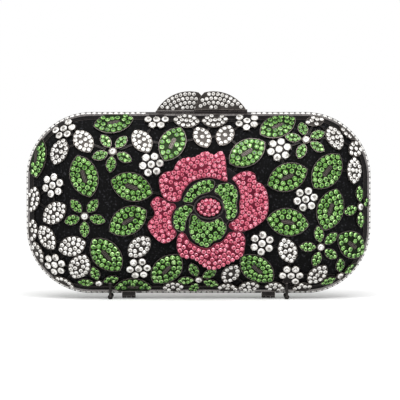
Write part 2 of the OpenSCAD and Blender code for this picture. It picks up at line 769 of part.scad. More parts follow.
// A frame: its outer face leans in and has a channel for one row of stones
channel_floor = [(corner_r + panel_r) / 2, (half_gap + frame_d) / 2]
    - channel_d * [cos(lean_angle), sin(lean_angle)];
hinge_z = ground_gap + knuckle_r;

module frame() {
    color("silver") difference() {
        round_sweep() difference() {
            polygon([[inner_r, half_gap], [corner_r, half_gap], [panel_r, frame_d],
                [inner_r, frame_d]]);
            translate(channel_floor) rotate(lean_angle)
                translate([0, -stone_d / 2 - stone_channel_gap])
                square([channel_d + overrun, stone_d + 2 * stone_channel_gap]);
        }
        for (side = [-1, 1])
            translate([side * hinge_x, hinge_z - middle_z, 0]) rotate([0, 90, 0])
                cylinder(r = knuckle_r + swing_gap, h = hinge_w + 2 * swing_gap, center = true);
    }
}

module frame_stone(along_edge) {
    translate([channel_floor.x, along_edge, channel_floor.y]) rotate([0, 90 - lean_angle, 0])
        translate([0, 0, glue_gap]) stone(stone_d);
}

module frame_stones() {
    pitch = stone_d + stone_gap + frame_stone_gap;
    corner_count = floor(PI / 2 * (channel_floor.x + channel_d) / pitch);
    color("white")
        for (i = [0 : 3]) {
            sx = i == 0 || i == 3 ? 1 : -1;
            sy = i < 2 ? 1 : -1;
            translate([sx * flat_w / 2, sy * flat_h / 2, 0])
                for (j = [0 : corner_count - 1])
                    rotate(90 * i + 90 * (j + 0.5) / corner_count) frame_stone(0);
            long = i % 2 == 1;
            edge_l = long ? flat_w : flat_h;
            count = floor(edge_l / pitch);
            for (j = [0 : count - 1]) {
                place = (j + 0.5) / count * edge_l - edge_l / 2;
                by_clasp = i == 1 && abs(place) < lobe_reach + stone_d;
                by_hinge = i == 3 && abs(abs(place) - hinge_x) < hinge_w / 2 + stone_d;
                if (!by_clasp && !by_hinge)
                    rotate(90 * i) translate([(long ? flat_h : flat_w) / 2, 0, 0])
                        frame_stone(place);
            }
        }
}

// Board and lining
module board() {
    color("black") shell(board_out, board_out - board_t, frame_d);
}

module lining() {
    skirt_r = inner_r - skin_gap;
    low = half_gap + lining_t;
    color("darkslategray") {
        round_sweep() {
            intersection() {
                shell_section(lining_out, lining_out - lining_t, low);
                square([skirt_r, half_d]);
            }
            high = core_u + sqrt(pow(dome_r + lining_out, 2) - skirt_r * skirt_r);
            translate([skirt_r - lining_t, low]) square([lining_t, high - low]);
        }
        translate([-flat_w / 2, -flat_h / 2, half_d + lining_out - lining_t])
            cube([flat_w, flat_h, lining_t]);
    }
}

// Ball feet, in place under the front half
module feet() {
    color("dimgray") difference() {
        for (side = [-1, 1])
            translate([side * foot_x, -foot_y, 0]) {
                translate([0, 0, foot_r - foot_flat]) sphere(foot_r);
                translate([0, 0, foot_r]) cylinder(r = foot_neck_r, h = foot_h + foot_neck_reach);
            }
        translate([-case_w / 2, -half_d, -2 * foot_r]) cube([case_w, half_d, 2 * foot_r]);
        front_stand() under_dome(skin_gap);
    }
}

// Hinges: the front leaf has the middle knuckle, the rear leaf the two outer ones
knuckle_l = (hinge_w - 2 * knuckle_gap) / 3;
hinge_plate_t = knuckle_r * hinge_plate_share;

module x_cylinder(r, l, x = 0) {
    translate([x, 0, hinge_z]) rotate([0, 90, 0]) cylinder(r = r, h = l, center = true);
}

module hinge_leaf(outer) {
    outer_x = knuckle_l + knuckle_gap;
    own = outer ? [-outer_x, outer_x] : [0];
    other = outer ? [0] : [-outer_x, outer_x];
    y_side = outer ? 1 : -1;
    difference() {
        union() {
            translate([-hinge_w / 2, 0, 0]) rotate([90, 0, 90]) linear_extrude(hinge_w)
                polygon([[0, hinge_z - hinge_plate_t], [y_side * hinge_leaf_d,
                    hinge_z - hinge_plate_t],
                    [y_side * hinge_leaf_d, foot_h - seat_gap
                        + frame_lean * (hinge_leaf_d - half_gap) / (frame_d - half_gap)],
                    [y_side * half_gap, foot_h - seat_gap], [0, foot_h - seat_gap]]);
            for (x = own) x_cylinder(knuckle_r, knuckle_l, x);
        }
        for (x = other) x_cylinder(knuckle_r + knuckle_gap, knuckle_l + 2 * knuckle_gap, x);
        x_cylinder(hinge_pin_r + run_gap, hinge_w + overrun);
    }
}

module hinge_leaves(outer) {
    color("dimgray")
        for (side = [-1, 1]) translate([side * hinge_x, 0, 0]) hinge_leaf(outer);
}

module hinge_pins() {
    color("silver")
        for (side = [-1, 1]) translate([side * hinge_x, 0, 0]) x_cylinder(hinge_pin_r, hinge_w);
}

// Clasp bases: a plate on each frame's leaning top. The front one has ears for the pivot
// and a rib behind them that closes the gap under the lobe
module seat_plate(x0, x1, y_side) {
    translate([x0, 0, 0]) rotate([90, 0, 90]) linear_extrude(x1 - x0)
        polygon([[y_side * (half_gap + skin_gap), top_z + seat_gap],
            [y_side * base_d, top_z + seat_gap
                - frame_lean * (base_d - half_gap) / (frame_d - half_gap)],
            [y_side * base_d, top_z + base_h],
            [y_side * (half_gap + skin_gap), top_z + base_h]]);
}

module on_pivot(x = 0) {
    translate([x, -pivot_u, pivot_z]) rotate([90, 0, 90]) children();
}

arm_low = pivot_z + hook_gap / 2 - hook_t / 2;
ear_places = [front_lobe_x - pivot_l / 2, front_lobe_x + pivot_l / 2 - ear_t];
module front_clasp_base() {
    color("dimgray") difference() {
        union() {
            seat_plate(front_lobe_x - lobe_inner_reach, front_lobe_x + lobe_outer_reach, -1);
            translate([front_lobe_x - lobe_inner_reach, -half_gap - skin_gap - rib_t,
                top_z + base_h / 2])
                cube([lobe_inner_reach + lobe_outer_reach, rib_t,
                    arm_low - skin_gap - top_z - base_h / 2]);
            for (x = ear_places) {
                on_pivot(x) cylinder(r = ear_r, h = ear_t);
                translate([x, -pivot_u - ear_web / 2, top_z + base_h / 2])
                    cube([ear_t, ear_web, pivot_z - top_z - base_h / 2]);
            }
        }
        on_pivot(ear_places[0] - overrun)
            cylinder(r = clasp_pin_r + run_gap, h = pivot_l + 2 * overrun);
    }
}

module rear_clasp_base() {
    color("dimgray")
        seat_plate(rear_lobe_x - lobe_outer_reach, rear_lobe_x + lobe_inner_reach, 1);
}

// A lobe: the inner edge of the front one lies to its left, of the rear one to its right
seam_shift = sqrt(seam_r * seam_r - seam_drop * seam_drop) - lobe_inner_reach;
module lobe_outline(side, low) {
    intersection() {
        translate([0, lobe_h - lobe_r]) circle(lobe_r);
        translate([side * seam_shift, -seam_drop]) circle(seam_r);
        translate([-lobe_r, low]) square([2 * lobe_r, lobe_h]);
    }
}

module lobe_plate(x, side, back_y, low) {
    translate([x, back_y, top_z]) rotate([90, 0, 0])
        linear_extrude(lobe_t) lobe_outline(side, low);
}

module lobe_stones(x, side, front_y, low) {
    d = clasp_stone_d;
    pitch = d + lobe_row_gap;
    first = lobe_r - lobe_rim - d / 2;
    color("white") translate([x, front_y - glue_gap, top_z]) rotate([90, 0, 0])
        for (row = [0 : floor(lobe_h / pitch)]) {
            r = first - row * pitch;
            step = (d + lobe_stone_gap) / r * 180 / PI;
            count = ceil(lobe_turn / step);
            for (i = [-count : count]) {
                a = (i + (row % 2) / 2) * step;
                p = [r * sin(a), lobe_h - lobe_r + r * cos(a)];
                from_seam = norm(p - [side * seam_shift, -seam_drop]);
                if (p.y > low + lobe_foot_rim + d / 2
                    && from_seam < seam_r - lobe_foot_rim - d / 2)
                    translate(p) stone(d);
            }
        }
}

front_lobe_back = -pivot_u - clasp_knuckle_r + knuckle_sink;
front_low = pivot_z - lobe_low - top_z;
knuckle_x = ear_places[0] + ear_t + spring_l;
module front_clasp_lobe() {
    color("dimgray") difference() {
        union() {
            lobe_plate(front_lobe_x, 1, front_lobe_back, front_low);
            on_pivot(knuckle_x)
                cylinder(r = clasp_knuckle_r, h = ear_places[1] - knuckle_gap - knuckle_x);
        }
        on_pivot(ear_places[0] - overrun)
            cylinder(r = clasp_pin_r + run_gap, h = pivot_l + 2 * overrun);
    }
}

module front_clasp_stones() {
    lobe_stones(front_lobe_x, 1, front_lobe_back - lobe_t, front_low);
}

rear_lobe_back = half_gap + skin_gap + lobe_t;
module rear_clasp_lobe() {
    color("dimgray") lobe_plate(rear_lobe_x, -1, rear_lobe_back, base_h + seat_gap);
}

module rear_clasp_stones() {
    lobe_stones(rear_lobe_x, -1, rear_lobe_back - lobe_t, base_h + seat_gap);
}

module clasp_pivot_pin() {
    color("silver") on_pivot(ear_places[0]) cylinder(r = clasp_pin_r, h = pivot_l);
}

// The hook's arm reaches back over the strike, and its toe drops behind it
toe_l = arm_low - top_z - base_h - skin_gap;
toe_u = strike_u + strike_t + swing_gap;
module clasp_hook() {
    color("silver") difference() {
        translate([hook_x - hook_w / 2, 0, 0]) rotate([90, 0, 90]) linear_extrude(hook_w)
            polygon([[-pivot_u, arm_low], [toe_u, arm_low], [toe_u, arm_low - toe_l],
                [toe_u + hook_t, arm_low - toe_l], [toe_u + hook_t, arm_low + hook_t],
                [-pivot_u, arm_low + hook_t]]);
        on_pivot(hook_x - hook_w) cylinder(r = clasp_knuckle_r + seat_gap, h = 2 * hook_w);
    }
}

module clasp_strike() {
    color("silver") {
        seat_plate(hook_x - strike_w / 2, hook_x + strike_w / 2, 1);
        translate([hook_x - strike_w / 2, strike_u, top_z + base_h / 2])
            cube([strike_w, strike_t, arm_low - hook_gap - top_z - base_h / 2]);
    }
}

// The spring winds round the pivot pin beside the knuckle. It comes in along the base and
// its other end stands up behind the lobe
module clasp_spring() {
    coil_r = clasp_pin_r + spring_pin_gap + spring_wire / 2;
    pitch = (spring_l - 2 * spring_wire) / spring_turns;
    x0 = ear_places[0] + ear_t + spring_wire;
    count = ceil(spring_turns * spring_rings);
    turns = [for (i = [0 : count]) -90 - 360 * spring_turns * i / count];
    coil = [for (i = [0 : count])
        [x0 + pitch * spring_turns * i / count, coil_r * cos(turns[i]), coil_r * sin(turns[i])]];
    centres = concat([coil[0] + [0, spring_leg, 0]], coil, [coil[count] + [0, 0, spring_leg]]);
    radials = concat([turns[0]], turns, [turns[count]]);
    points = [for (i = [0 : len(centres) - 1], j = [0 : spring_sides - 1])
        let (a = 360 * j / spring_sides, w = spring_wire / 2)
        centres[i] + w * [sin(a), cos(a) * cos(radials[i]), cos(a) * sin(radials[i])]];
    last = len(centres) - 1;
    sides = [for (i = [0 : last - 1], j = [0 : spring_sides - 1])
        let (
            k = (j + 1) % spring_sides,
            a = i * spring_sides + j, b = i * spring_sides + k,
            c = a + spring_sides, d = b + spring_sides
        )
        each [[a, b, d], [a, d, c]]];
    ends = [[for (j = [spring_sides - 1 : -1 : 0]) j],
        [for (j = [0 : spring_sides - 1]) last * spring_sides + j]];
    color("silver") translate([0, -pivot_u, pivot_z]) polyhedron(points, concat(sides, ends));
}

front_stand() frame();  // front_frame
front_stand() lattice();  // front_lattice
front_stand() leaf_plates();  // front_leaf_plates
front_stand() small_leaf_plates();  // front_small_leaf_plates
front_stand() daisy_plates();  // front_daisy_plates
front_stand() star_plates();  // front_star_plates
front_stand() rose_seat();  // front_rose_seat
front_stand() rose_petals();  // front_rose_petals
front_stand() rose_leaves();  // front_rose_leaves
front_stand() rose_centre();  // front_rose_centre
front_stand() leaf_stones();  // front_leaf_stones
front_stand() small_leaf_stones();  // front_small_leaf_stones
front_stand() daisy_stones();  // front_daisy_stones
front_stand() petal_stones();  // front_petal_stones
front_stand() rose_leaf_stones();  // front_rose_leaf_stones
front_stand() frame_stones();  // front_frame_stones
front_stand() board();  // front_board
front_stand() lining();  // front_lining
feet();  // front_feet
hinge_leaves(false);  // front_hinge_leaves
front_clasp_base();
front_clasp_lobe();
front_clasp_stones();
rear_stand() frame();  // rear_frame
rear_stand() lattice();  // rear_lattice
rear_stand() leaf_plates();  // rear_leaf_plates
rear_stand() small_leaf_plates();  // rear_small_leaf_plates
rear_stand() daisy_plates();  // rear_daisy_plates
rear_stand() star_plates();  // rear_star_plates
rear_stand() rose_seat();  // rear_rose_seat
rear_stand() rose_petals();  // rear_rose_petals
rear_stand() rose_leaves();  // rear_rose_leaves
rear_stand() rose_centre();  // rear_rose_centre
rear_stand() leaf_stones();  // rear_leaf_stones
rear_stand() small_leaf_stones();  // rear_small_leaf_stones
rear_stand() daisy_stones();  // rear_daisy_stones
rear_stand() petal_stones();  // rear_petal_stones
rear_stand() rose_leaf_stones();  // rear_rose_leaf_stones
rear_stand() frame_stones();  // rear_frame_stones
rear_stand() board();  // rear_board
rear_stand() lining();  // rear_lining
rotate(180) feet();  // rear_feet
hinge_leaves(true);  // rear_hinge_leaves
rear_clasp_base();
rear_clasp_lobe();
rear_clasp_stones();
hinge_pins();
clasp_strike();
clasp_hook();
clasp_pivot_pin();
clasp_spring();
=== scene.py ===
"""Evening clutch: two domed halves of dark openwork set with stones, on a hinge.

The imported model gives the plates, bars, frames, boards, hinges and clasp. Here they get
their finishes, and every stone becomes a cut crystal at the seat that the model gives it,
in a metal cup unless it sits in a frame's channel.
"""

import json

import bpy
import numpy as np
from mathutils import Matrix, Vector


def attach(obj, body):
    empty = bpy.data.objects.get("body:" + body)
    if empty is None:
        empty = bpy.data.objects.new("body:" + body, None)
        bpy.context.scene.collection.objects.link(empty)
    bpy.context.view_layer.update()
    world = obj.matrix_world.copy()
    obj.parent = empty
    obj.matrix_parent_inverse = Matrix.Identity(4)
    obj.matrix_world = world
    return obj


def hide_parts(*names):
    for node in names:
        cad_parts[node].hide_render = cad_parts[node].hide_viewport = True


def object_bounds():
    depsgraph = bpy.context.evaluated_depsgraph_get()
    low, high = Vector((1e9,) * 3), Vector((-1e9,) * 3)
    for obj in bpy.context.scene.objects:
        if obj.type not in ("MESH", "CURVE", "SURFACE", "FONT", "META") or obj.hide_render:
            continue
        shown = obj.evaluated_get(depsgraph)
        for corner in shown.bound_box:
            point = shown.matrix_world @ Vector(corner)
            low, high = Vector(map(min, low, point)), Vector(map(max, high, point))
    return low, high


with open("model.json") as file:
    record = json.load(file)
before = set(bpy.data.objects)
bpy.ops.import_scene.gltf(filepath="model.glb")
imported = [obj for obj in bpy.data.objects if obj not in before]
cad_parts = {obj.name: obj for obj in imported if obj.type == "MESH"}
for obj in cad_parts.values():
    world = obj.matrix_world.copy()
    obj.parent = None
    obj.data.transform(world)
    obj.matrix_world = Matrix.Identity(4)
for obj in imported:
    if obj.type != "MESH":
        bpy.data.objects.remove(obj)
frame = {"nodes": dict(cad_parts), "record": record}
cad_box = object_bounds()


# Openwork: leaf, daisy and star plates over a lattice of bars, cast in a zinc alloy and
# plated in four tints of gunmetal: green under green stones, paler on small leaves and the
# clasp's lobes, near black on the bars. It rubs through to a paler metal along its edges.
def tint(red, green, blue):
    """The linear colour of a screen colour given in 0 to 255."""
    c = np.array([red, green, blue]) / 255
    c = np.where(c <= 0.04045, c / 12.92, ((c + 0.055) / 1.055) ** 2.4)
    return (*c.tolist(), 1.0)


def add(tree, kind, **values):
    """A new node, with values for its settings and, by the names of its sockets, its inputs."""
    node = tree.nodes.new(kind)
    for name, value in values.items():
        socket = name.replace("_", " ")
        if socket in node.inputs:
            node.inputs[socket].default_value = value
        else:
            setattr(node, name, value)
    return node


def join(tree, source, target):
    """Joins an output to an input."""
    tree.links.new(source, target)


def calculate(tree, operation, a, b=None):
    """The output of a Math node on two sockets or numbers."""
    node = add(tree, "ShaderNodeMath", operation=operation)
    for place, value in enumerate([a, b]):
        if value is None:
            continue
        if isinstance(value, (int, float)):
            node.inputs[place].default_value = value
        else:
            join(tree, value, node.inputs[place])
    return node.outputs[0]


def ramp(tree, source, stops):
    """The colour output of a Color Ramp on a value, with stops of (place, colour)."""
    node = add(tree, "ShaderNodeValToRGB")
    points = node.color_ramp.elements
    while len(points) < len(stops):
        points.new(0.5)
    for point, (place, colour) in zip(points, stops):
        point.position = place
        point.color = colour
    join(tree, source, node.inputs["Fac"])
    return node.outputs["Color"]


def mixed(tree, share, a, b):
    """The colour between a and b at a share; each is a socket or a colour."""
    node = add(tree, "ShaderNodeMix", data_type="RGBA")
    for place, value in zip((0, 6, 7), (share, a, b)):
        if isinstance(value, bpy.types.NodeSocket):
            join(tree, value, node.inputs[place])
        else:
            node.inputs[place].default_value = value
    return node.outputs[2]


def noise(tree, scale, detail=4.0, roughness=0.5, stretch=(1, 1, 1)):
    """The value of a Noise texture over the object's own coordinates, in cycles per metre."""
    place = add(tree, "ShaderNodeTexCoord")
    fit = add(tree, "ShaderNodeMapping", Scale=stretch)
    texture = add(tree, "ShaderNodeTexNoise", Scale=scale, Detail=detail, Roughness=roughness)
    join(tree, place.outputs["Object"], fit.inputs["Vector"])
    join(tree, fit.outputs["Vector"], texture.inputs["Vector"])
    return texture.outputs["Fac"]


def group(name, inputs, outputs):
    """An empty shader group with named number inputs and outputs of a kind each."""
    made = bpy.data.node_groups.new(name, "ShaderNodeTree")
    for socket, value in inputs.items():
        made.interface.new_socket(
            socket, in_out="INPUT", socket_type="NodeSocketFloat"
        ).default_value = value
    for socket, kind in outputs.items():
        made.interface.new_socket(socket, in_out="OUTPUT", socket_type=kind)
    return made, add(made, "NodeGroupInput"), add(made, "NodeGroupOutput")


RUB_WIDTH = 0.0004
RUB_REACH = 6.0
RUB_NOISE = 900
RUB_NOISE_STRENGTH = 1.6


def rubbed_edges():
    """A group whose Mask is 1 on edges: how far the normal, rounded over a radius, leans
    away from the true one, broken up by a noise."""
    made, source, result = group("rubbed_edges", {"Radius": RUB_WIDTH, "Reach": RUB_REACH},
        {"Mask": "NodeSocketFloat"})
    rounded = add(made, "ShaderNodeBevel", samples=4)
    join(made, source.outputs["Radius"], rounded.inputs["Radius"])
    true = add(made, "ShaderNodeNewGeometry")
    lean = add(made, "ShaderNodeVectorMath", operation="DOT_PRODUCT")
    join(made, rounded.outputs["Normal"], lean.inputs[0])
    join(made, true.outputs["Normal"], lean.inputs[1])
    edge = calculate(made, "SUBTRACT", 1.0, lean.outputs["Value"])
    edge = calculate(made, "MULTIPLY", edge, source.outputs["Reach"])
    worn = calculate(made, "MULTIPLY", noise(made, RUB_NOISE), RUB_NOISE_STRENGTH)
    join(made, calculate(made, "MINIMUM", calculate(made, "MULTIPLY", edge, worn), 1.0),
        result.inputs["Mask"])
    return made


BROAD_NOISE = 260
FINE_NOISE = 1900
BROAD_IN_HEIGHT = 0.6


def cast_skin():
    """A group for cast and plated metal: Patches of dullness a few millimetres wide, and
    the Height of its fine uneven skin."""
    made, _, result = group("cast_skin", {}, {"Patches": "NodeSocketFloat",
        "Height": "NodeSocketFloat"})
    broad = noise(made, BROAD_NOISE, detail=3)
    fine = noise(made, FINE_NOISE, detail=2)
    join(made, calculate(made, "MULTIPLY", broad, broad), result.inputs["Patches"])
    lift = calculate(made, "MULTIPLY", broad, BROAD_IN_HEIGHT)
    join(made, calculate(made, "ADD", fine, lift), result.inputs["Height"])
    return made


EDGES = rubbed_edges()
SKIN = cast_skin()


def finish_of(name):
    """A new material with a Principled shader: (material, its tree, the shader)."""
    made = bpy.data.materials.new(name)
    made.use_nodes = True
    made.node_tree.nodes.clear()
    shader = add(made.node_tree, "ShaderNodeBsdfPrincipled")
    out = add(made.node_tree, "ShaderNodeOutputMaterial")
    join(made.node_tree, shader.outputs["BSDF"], out.inputs["Surface"])
    return made, made.node_tree, shader


def placed_group(tree, made, **values):
    """A group's node in a material, with values for its inputs."""
    node = add(tree, "ShaderNodeGroup")
    node.node_tree = made
    for name, value in values.items():
        node.inputs[name].default_value = value
    return node


def uneven(tree, shader, height, strength, depth):
    """Feeds a height through a Bump node into the shader's normal. Depth is in metres."""
    bump = add(tree, "ShaderNodeBump", Strength=strength, Distance=depth)
    join(tree, height, bump.inputs["Height"])
    join(tree, bump.outputs["Normal"], shader.inputs["Normal"])


PLATED_METALLIC = 0.9
PATCH_DULLNESS = 0.5
MEAN_PATCH_DULLNESS = 0.12
SKIN_STRENGTH = 0.5
SKIN_DEPTH = 0.00006


def plated(name, dark, pale, worn, roughness=0.34, rub=RUB_WIDTH):
    """Cast metal with plating: dark to pale over patches, worn within rub metres of its
    edges."""
    made, tree, shader = finish_of(name)
    skin = placed_group(tree, SKIN)
    edges = placed_group(tree, EDGES, Radius=rub)
    base = mixed(tree, skin.outputs["Patches"], dark, pale)
    join(tree, mixed(tree, edges.outputs["Mask"], base, worn), shader.inputs["Base Color"])
    dull = calculate(tree, "MULTIPLY", skin.outputs["Patches"], PATCH_DULLNESS)
    join(tree, calculate(tree, "ADD", dull, roughness - MEAN_PATCH_DULLNESS),
        shader.inputs["Roughness"])
    shader.inputs["Metallic"].default_value = PLATED_METALLIC
    uneven(tree, shader, skin.outputs["Height"], SKIN_STRENGTH, SKIN_DEPTH)
    return made


def dress(material, *names):
    """Puts a material in every slot of the named CAD nodes."""
    for name in names:
        for place in frame["nodes"][name].material_slots:
            place.material = material


SIDES = ("front", "rear")


def both(*names):
    """The names of the front and rear nodes of like kinds."""
    return [f"{side}_{name}" for side in SIDES for name in names]


gunmetal = plated("gunmetal", tint(24, 22, 22), tint(52, 48, 47), tint(118, 110, 107))
dress(gunmetal, *both("daisy_plates", "clasp_base"))
pale_gunmetal = plated("pale_gunmetal", tint(42, 39, 37), tint(92, 87, 83), tint(160, 152, 145))
dress(pale_gunmetal, *both("small_leaf_plates", "clasp_lobe"))
green_gunmetal = plated("green_gunmetal", tint(14, 25, 9), tint(32, 46, 22),
    tint(142, 129, 127), rub=0.0007)
dress(green_gunmetal, *both("leaf_plates", "star_plates", "rose_leaves"))
black_gunmetal = plated("black_gunmetal", tint(13, 12, 12), tint(30, 28, 28), tint(78, 73, 71))
dress(black_gunmetal, *both("lattice"))

# Rose: a blackened seat that carries the petals and a domed centre in its collar, all cast
# like the openwork, whose green plating its raised leaves share. The petals' plating is
# tinted red under the pink stones, and so is the centre's inside its collar.
blackened = plated("blackened_casting", tint(17, 16, 17), tint(44, 41, 43), tint(96, 90, 92),
    roughness=0.5)
dress(blackened, *both("rose_seat"))
DEEP_RED, PALE_RED = tint(84, 21, 37), tint(136, 46, 66)
red_plating = plated("red_plating", DEEP_RED, PALE_RED, tint(176, 104, 116))
dress(red_plating, *both("rose_petals"))


COLLAR_INSIDE = 0.9


def centre_plating(side):
    """Plating that is red inside the collar and gunmetal on it. The share of gunmetal steps
    from 0 to 1 where the distance from the middle, in halves of the centre's width and
    height, passes the gap inside the collar."""
    corners = np.array(frame["nodes"][f"{side}_rose_centre"].bound_box)
    low, high = corners.min(0), corners.max(0)
    middle, reach = (low + high) / 2, (high - low) / 2
    made, tree, shader = finish_of(f"{side}_centre_plating")
    place = add(tree, "ShaderNodeTexCoord")
    parts = add(tree, "ShaderNodeSeparateXYZ")
    join(tree, place.outputs["Object"], parts.inputs[0])
    squares = []
    for axis, k in (("X", 0), ("Z", 2)):
        off = calculate(tree, "SUBTRACT", parts.outputs[axis], float(middle[k]))
        share = calculate(tree, "DIVIDE", off, float(reach[k]))
        squares.append(calculate(tree, "MULTIPLY", share, share))
    collar = calculate(tree, "GREATER_THAN", calculate(tree, "ADD", *squares),
        COLLAR_INSIDE ** 2)
    skin = placed_group(tree, SKIN)
    edges = placed_group(tree, EDGES)
    red = mixed(tree, skin.outputs["Patches"], DEEP_RED, PALE_RED)
    grey = mixed(tree, edges.outputs["Mask"], tint(34, 30, 31), tint(122, 112, 112))
    join(tree, mixed(tree, collar, red, grey), shader.inputs["Base Color"])
    shader.inputs["Roughness"].default_value = 0.3
    shader.inputs["Metallic"].default_value = PLATED_METALLIC
    uneven(tree, shader, skin.outputs["Height"], SKIN_STRENGTH, SKIN_DEPTH)
    return made


for side in SIDES:
    dress(centre_plating(side), f"{side}_rose_centre")

# Frames: brass sections bent round each half and soldered at one joint, then polished and
# plated. Polishing leaves fine lines along the section.
POLISH_NOISE = 700
POLISH_DULLNESS = 0.5
POLISH_DEPTH = 0.00002
bright, tree, shader = finish_of("frame_plating")
lines = noise(tree, POLISH_NOISE, detail=5, roughness=0.65, stretch=(1, 9, 1))
join(tree, ramp(tree, lines, [(0.3, tint(96, 92, 92)), (0.7, tint(140, 136, 134))]),
    shader.inputs["Base Color"])
shader.inputs["Metallic"].default_value = 1.0
join(tree, calculate(tree, "MULTIPLY", lines, POLISH_DULLNESS), shader.inputs["Roughness"])
uneven(tree, shader, lines, 0.25, POLISH_DEPTH)
dress(bright, *both("frame"))

# Feet and hinges: turned balls and stamped leaves in the openwork's dark plating, a little
# duller from handling.
dark_fittings = plated("dark_fittings", tint(30, 28, 28), tint(58, 54, 54), tint(150, 142, 138),
    roughness=0.4)
dress(dark_fittings, *both("feet", "hinge_leaves"))

# Small steel parts: hinge pins, and the clasp's pin, spring, hook and strike. Drawn or
# stamped steel with a satin grain.
GRAIN_NOISE = 2400
GRAIN_DULLNESS = 0.3
STEEL_ROUGHNESS = 0.18
GRAIN_DEPTH = 0.00002
steel, tree, shader = finish_of("satin_steel")
grain = noise(tree, GRAIN_NOISE, detail=3, stretch=(0.12, 1, 1))
join(tree, ramp(tree, grain, [(0.3, tint(150, 150, 154)), (0.7, tint(196, 196, 200))]),
    shader.inputs["Base Color"])
shader.inputs["Metallic"].default_value = 1.0
join(tree, calculate(tree, "ADD", calculate(tree, "MULTIPLY", grain, GRAIN_DULLNESS),
    STEEL_ROUGHNESS), shader.inputs["Roughness"])
uneven(tree, shader, grain, 0.3, GRAIN_DEPTH)
dress(steel, "hinge_pins", "clasp_strike", "clasp_hook", "clasp_pivot_pin", "clasp_spring")


# Board: stiff card shaped to the dome with a near black cloth glued over it. The cloth is
# a plain weave with slubs and a few dark grey flecks of glitter thread, painted paler on top
# of its threads and with painted shade between them.
CLOTH_THREADS = 1100.0
SLUB_NOISE = 520
BIAS = 0.6


def weave():
    """A group for plain cloth: warp and weft are sines across each other, and the one on
    top changes in a checker. Over is 1 on top of a thread, and Slub is its thickness."""
    made, source, result = group("weave", {"Threads": CLOTH_THREADS},
        {"Over": "NodeSocketFloat", "Slub": "NodeSocketFloat"})
    place = add(made, "ShaderNodeTexCoord")
    parts = add(made, "ShaderNodeSeparateXYZ")
    join(made, place.outputs["Object"], parts.inputs[0])
    turns = calculate(made, "MULTIPLY", source.outputs["Threads"], float(np.pi))
    across = calculate(made, "ADD", parts.outputs["X"], parts.outputs["Y"])
    up = calculate(made, "ADD", parts.outputs["Z"],
        calculate(made, "MULTIPLY", parts.outputs["Y"], BIAS))
    warp = calculate(made, "SINE", calculate(made, "MULTIPLY", across, turns))
    weft = calculate(made, "SINE", calculate(made, "MULTIPLY", up, turns))
    swap = calculate(made, "GREATER_THAN", calculate(made, "MULTIPLY", warp, weft), 0.0)
    over = calculate(made, "ADD",
        calculate(made, "MULTIPLY", calculate(made, "ABSOLUTE", warp), swap),
        calculate(made, "MULTIPLY", calculate(made, "ABSOLUTE", weft),
            calculate(made, "SUBTRACT", 1.0, swap)))
    join(made, over, result.inputs["Over"])
    join(made, noise(made, SLUB_NOISE, detail=3, roughness=0.7, stretch=(1, 1, 0.4)),
        result.inputs["Slub"])
    return made


WEAVE = weave()


FLECK_NOISE = 900


def cloth(name, deep, pale, fleck, threads, gloss, depth, roughness):
    """Woven cloth with painted light and shade by thread height: pale on top of its threads and
    on its slubs, painted shade deep between them, with flecks where a coarse noise is highest.
    Threads are in a metre, and depth in metres."""
    made, tree, shader = finish_of(name)
    threads_of = placed_group(tree, WEAVE, Threads=threads)
    lift = calculate(tree, "MULTIPLY", threads_of.outputs["Over"], threads_of.outputs["Slub"])
    # Painted shade between the threads, with paler painted light on their tops and slubs.
    painted_thread_shade = ramp(tree, lift, [(0.12, deep), (0.6, pale)])
    flecks = ramp(tree, noise(tree, FLECK_NOISE, detail=1),
        [(0.6, (0, 0, 0, 1)), (0.7, (1, 1, 1, 1))])
    join(tree, mixed(tree, flecks, painted_thread_shade, fleck), shader.inputs["Base Color"])
    shader.inputs["Roughness"].default_value = roughness
    shader.inputs["Specular IOR Level"].default_value = gloss
    uneven(tree, shader, lift, 0.8, depth)
    return made


black_cloth = cloth("black_cloth", tint(3, 3, 3), tint(18, 18, 19), tint(42, 42, 45),
    threads=CLOTH_THREADS, gloss=0.08, depth=0.00012, roughness=0.8)
dress(black_cloth, *both("board"))

# Lining: thin black satin over card, with a finer thread and more shine than the cloth
# outside.
lining_cloth = cloth("lining_satin", tint(10, 10, 12), tint(34, 34, 40), tint(40, 40, 46),
    threads=1900.0, gloss=0.5, depth=0.00005, roughness=0.4)
dress(lining_cloth, *both("lining"))


# Stones: glass with a flat table and a crown of facets, foiled behind. Their facets' colours
# are painted reflections: painted highlights on some facets and painted shade on others.
# Each is pressed into a thin cup, plated silver, green or red and soldered to its plate,
# except in the frames' rows, which sit straight in their channels.
KEYS_PER_METRE = 1e7
WIDE_RING_SHARE = 0.85


